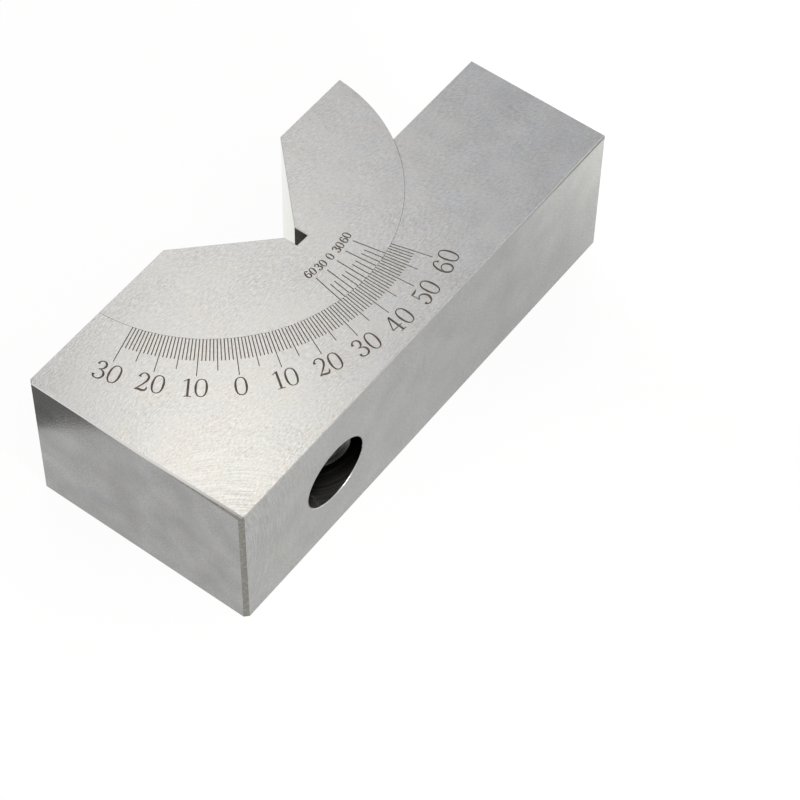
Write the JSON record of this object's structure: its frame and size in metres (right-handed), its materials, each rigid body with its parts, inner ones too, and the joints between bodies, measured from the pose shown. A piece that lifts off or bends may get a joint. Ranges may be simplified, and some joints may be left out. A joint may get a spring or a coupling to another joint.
{
  "type": "adjustable v-block",
  "caption": "Rectangular steel block with a 90 degree V in a disc segment that turns in a round seat to a set angle, clamped by an inclined socket head screw.",
  "frame": {"origin": "middle of the 102 mm by 45 mm outline, on the back face that it lies on", "axes": "+X along the block from its chamfered near end to its far end with the low shelf, +Y from the foot to the V, +Z out of the face with the scale"},
  "size_m": [0.102, 0.045, 0.03],
  "materials": {
    "ground_steel": "fine ground, with swirl marks",
    "ground_steel_sector": "fine ground, with swirl marks",
    "black_oxide_steel": "black oxide, satin",
    "nut_steel": "machined"
  },
  "bodies": {
    "base": {"base_block": "ground_steel"},
    "sector": {"v_sector": "ground_steel_sector"},
    "screw": {"clamp_screw": "black_oxide_steel"},
    "nut": {"t_nut": "nut_steel"}
  },
  "joints": [
    {"name": "sector_turn", "type": "hinge", "parent": "base", "child": "sector", "pos_m": [0, 0.0245, 0.015], "axis": [0, 0, 1], "range_deg": [-75, 15]},
    {"name": "screw_turn", "type": "hinge", "parent": "base", "child": "screw", "pos_m": [-0.02117, -0.01293, 0.015], "axis": [-0.4924, -0.8704, 0], "range_deg": [0, 180]},
    {"name": "nut_travel", "type": "slide", "parent": "base", "child": "nut", "axis": [0.4924, 0.8704, 0], "range_m": [0, 0.00051]}
  ],
  "couplings": [
    {"joint": "nut_travel", "follows": "screw_turn", "m_per_rad": 0.00015915}
  ]
}
